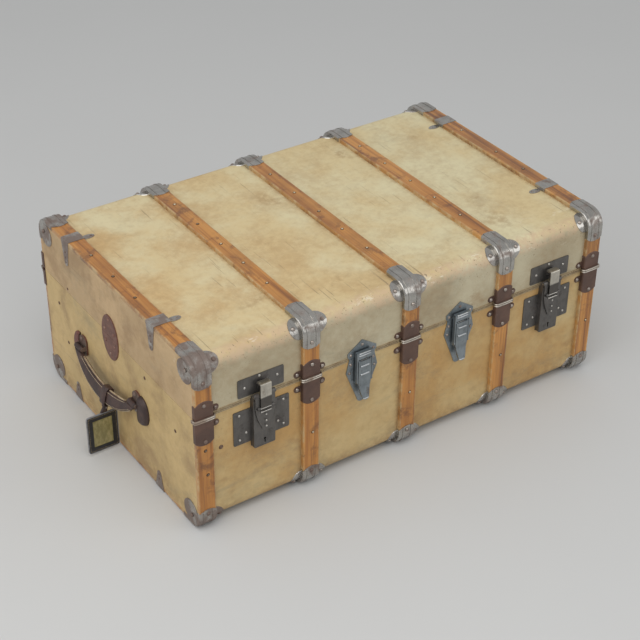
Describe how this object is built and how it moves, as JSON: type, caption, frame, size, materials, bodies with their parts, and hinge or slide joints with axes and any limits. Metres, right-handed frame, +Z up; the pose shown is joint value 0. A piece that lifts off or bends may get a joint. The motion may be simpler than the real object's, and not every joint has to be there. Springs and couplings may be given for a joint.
{
  "type": "travel trunk",
  "caption": "Flat-topped travel trunk for papers and keepsakes: vellum-covered box with wooden slats, steel caps, hinged lid, two locks, draw bolts, end handles and a luggage tag",
  "frame": {"origin": "under the middle of the trunk's box, on the plane that its bottom caps stand on", "axes": "+X along the length with the tagged handle at -X, -Y to the front with the locks, +Z up"},
  "size_m": [0.9978, 0.5999, 0.367],
  "materials": {
    "vellum": "stretched cream vellum, mottled and scuffed",
    "vellum_binding": "bound vellum edge along the seam",
    "plywood": "plain plywood, covered on both sides",
    "paper_lining": "plain paper-backed cloth",
    "ash_slat": "orange-brown varnished ash with worn edges",
    "nickelled_steel": "pressed steel, worn nickel plate",
    "brown_lacquer": "brown lacquer over pressed steel",
    "steel_pin": "plain steel wire",
    "gunmetal": "dark gunmetal, bright where it rubs",
    "galvanised": "blue-grey galvanised steel",
    "brown_leather": "dark stitched harness leather with pale edges",
    "bracket_steel": "browned steel",
    "black_leather": "black leather with a grey cut edge",
    "tag_pane": "yellowed clear sheet over blank card"
  },
  "bodies": {
    "base": {"base_vellum": "vellum", "base_carcass": "plywood", "base_lining": "paper_lining", "base_lip": "paper_lining", "base_bead": "vellum_binding", "base_front_slats": "ash_slat", "base_back_slats": "ash_slat", "base_bottom_slats": "ash_slat", "base_front_caps": "nickelled_steel", "base_back_caps": "nickelled_steel", "base_clamps": "brown_lacquer", "base_hinge_leaves": "brown_lacquer", "hinge_pins": "steel_pin", "base_clips": "nickelled_steel", "base_dowel_plates": "brown_lacquer", "latch_pins": "steel_pin", "left_lock_plate": "gunmetal", "left_lock_case": "gunmetal", "left_bolt_plate": "galvanised", "left_handle_patches": "brown_leather", "left_handle_brackets": "bracket_steel", "right_lock_plate": "gunmetal", "right_lock_case": "gunmetal", "right_bolt_plate": "galvanised", "right_handle_patches": "brown_leather", "right_handle_brackets": "bracket_steel"},
    "lid": {"lid_vellum": "vellum", "lid_carcass": "plywood", "lid_lining": "paper_lining", "lid_bead": "vellum_binding", "lid_top_slats": "ash_slat", "lid_front_slats": "ash_slat", "lid_back_slats": "ash_slat", "lid_front_caps": "nickelled_steel", "lid_back_caps": "nickelled_steel", "lid_clamps": "brown_lacquer", "lid_hinge_leaves": "brown_lacquer", "lid_clips": "nickelled_steel", "lid_dowel_plates": "brown_lacquer", "left_lock_catch": "gunmetal", "left_bolt_catch": "galvanised", "right_lock_catch": "gunmetal", "right_bolt_catch": "galvanised"},
    "left_lock_lever": {"left_lock_lever": "gunmetal"},
    "left_lock_claw": {"left_lock_claw": "gunmetal"},
    "left_bolt_lever": {"left_bolt_lever": "galvanised"},
    "left_bolt_link": {"left_bolt_link": "galvanised"},
    "left_handle": {"left_handle_grip": "brown_leather", "tag_keeper": "brown_leather"},
    "right_lock_lever": {"right_lock_lever": "gunmetal"},
    "right_lock_claw": {"right_lock_claw": "gunmetal"},
    "right_bolt_lever": {"right_bolt_lever": "galvanised"},
    "right_bolt_link": {"right_bolt_link": "galvanised"},
    "right_handle": {"right_handle_grip": "brown_leather"},
    "tag": {"tag_strap": "brown_leather", "tag_frame": "black_leather", "tag_window": "tag_pane"}
  },
  "joints": [
    {"name": "lid_hinge", "type": "hinge", "parent": "base", "child": "lid", "pos_m": [0, 0.2943, 0.246], "axis": [-1, 0, 0], "range_deg": [0, 100]},
    {"name": "left_lock_lever_swing", "type": "hinge", "parent": "base", "child": "left_lock_lever", "pos_m": [-0.316, -0.2935, 0.254], "axis": [-1, 0, 0], "range_deg": [0, 120]},
    {"name": "left_lock_claw_swing", "type": "hinge", "parent": "left_lock_lever", "child": "left_lock_claw", "pos_m": [-0.316, -0.2984, 0.229], "axis": [-1, 0, 0], "range_deg": [-120, 0]},
    {"name": "left_bolt_lever_swing", "type": "hinge", "parent": "base", "child": "left_bolt_lever", "pos_m": [-0.104, -0.2897, 0.239], "axis": [-1, 0, 0], "range_deg": [0, 120]},
    {"name": "left_bolt_link_swing", "type": "hinge", "parent": "left_bolt_lever", "child": "left_bolt_link", "pos_m": [-0.104, -0.2905, 0.196], "axis": [-1, 0, 0], "range_deg": [-120, 0]},
    {"name": "left_handle_swing", "type": "hinge", "parent": "base", "child": "left_handle", "pos_m": [-0.462, 0.025, 0.158], "axis": [0, 1, 0], "range_deg": [0, 80]},
    {"name": "right_lock_lever_swing", "type": "hinge", "parent": "base", "child": "right_lock_lever", "pos_m": [0.331, -0.2935, 0.254], "axis": [-1, 0, 0], "range_deg": [0, 120]},
    {"name": "right_lock_claw_swing", "type": "hinge", "parent": "right_lock_lever", "child": "right_lock_claw", "pos_m": [0.331, -0.2984, 0.229], "axis": [-1, 0, 0], "range_deg": [-120, 0]},
    {"name": "right_bolt_lever_swing", "type": "hinge", "parent": "base", "child": "right_bolt_lever", "pos_m": [0.116, -0.2897, 0.239], "axis": [-1, 0, 0], "range_deg": [0, 120]},
    {"name": "right_bolt_link_swing", "type": "hinge", "parent": "right_bolt_lever", "child": "right_bolt_link", "pos_m": [0.116, -0.2905, 0.196], "axis": [-1, 0, 0], "range_deg": [-120, 0]},
    {"name": "right_handle_swing", "type": "hinge", "parent": "base", "child": "right_handle", "pos_m": [0.462, 0.025, 0.158], "axis": [0, -1, 0], "range_deg": [0, 80]},
    {"name": "tag_swing", "type": "hinge", "parent": "left_handle", "child": "tag", "pos_m": [-0.47673, 0.007, 0.10304], "axis": [0, 1, 0], "range_deg": [0, 60]}
  ],
  "couplings": [
    {"joint": "left_lock_claw_swing", "follows": "left_lock_lever_swing", "ratio": -1},
    {"joint": "left_bolt_link_swing", "follows": "left_bolt_lever_swing", "ratio": -1},
    {"joint": "right_lock_claw_swing", "follows": "right_lock_lever_swing", "ratio": -1},
    {"joint": "right_bolt_link_swing", "follows": "right_bolt_lever_swing", "ratio": -1}
  ]
}
